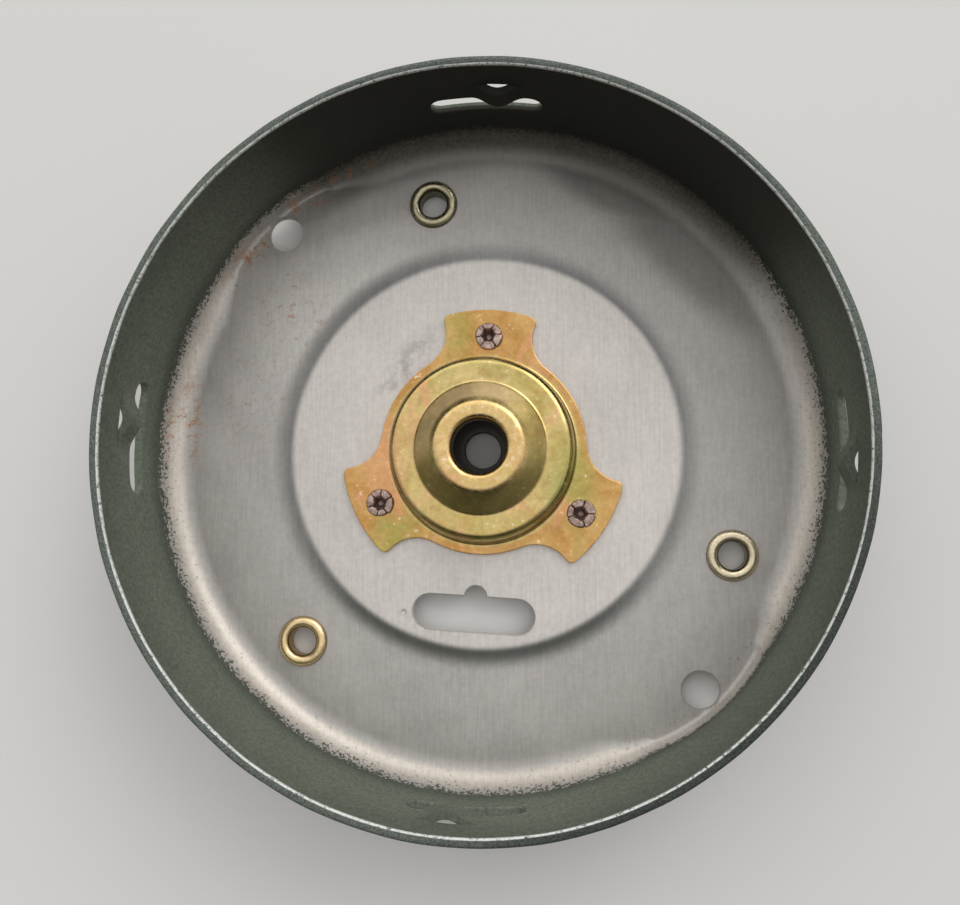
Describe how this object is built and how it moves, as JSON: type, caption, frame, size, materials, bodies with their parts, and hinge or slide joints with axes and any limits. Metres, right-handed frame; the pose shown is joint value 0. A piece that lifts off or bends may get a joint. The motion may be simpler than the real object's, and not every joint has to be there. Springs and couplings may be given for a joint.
{
  "type": "engine flywheel pan",
  "caption": "Deep-drawn steel flywheel pan for a small engine, open at the rim, with a riveted stepped hub, brass eyelets and lanced windows round its wall.",
  "frame": {"origin": "on the shaft axis at the underside of the raised centre disc, where the shaft's shoulder seats", "axes": "+Z along the shaft axis towards the open rim; X and Y across the pan, with the disc slot on the -Y side"},
  "size_m": [0.152, 0.152, 0.036],
  "materials": {
    "pan_steel": "satin oxide-coated sheet steel, worn bright at the rim, with rust specks",
    "zinc_gold": "yellow zinc chromate plating with faint iridescence",
    "rivet_steel": "tarnished brown steel",
    "eyelet_brass": "tarnished brass, bright on the roll"
  },
  "bodies": {
    "root": {"pan": "pan_steel", "hub_flange": "zinc_gold", "rivet_1": "rivet_steel", "rivet_2": "rivet_steel", "rivet_3": "rivet_steel", "eyelet_1": "eyelet_brass", "eyelet_2": "eyelet_brass", "eyelet_3": "eyelet_brass"}
  },
  "joints": []
}
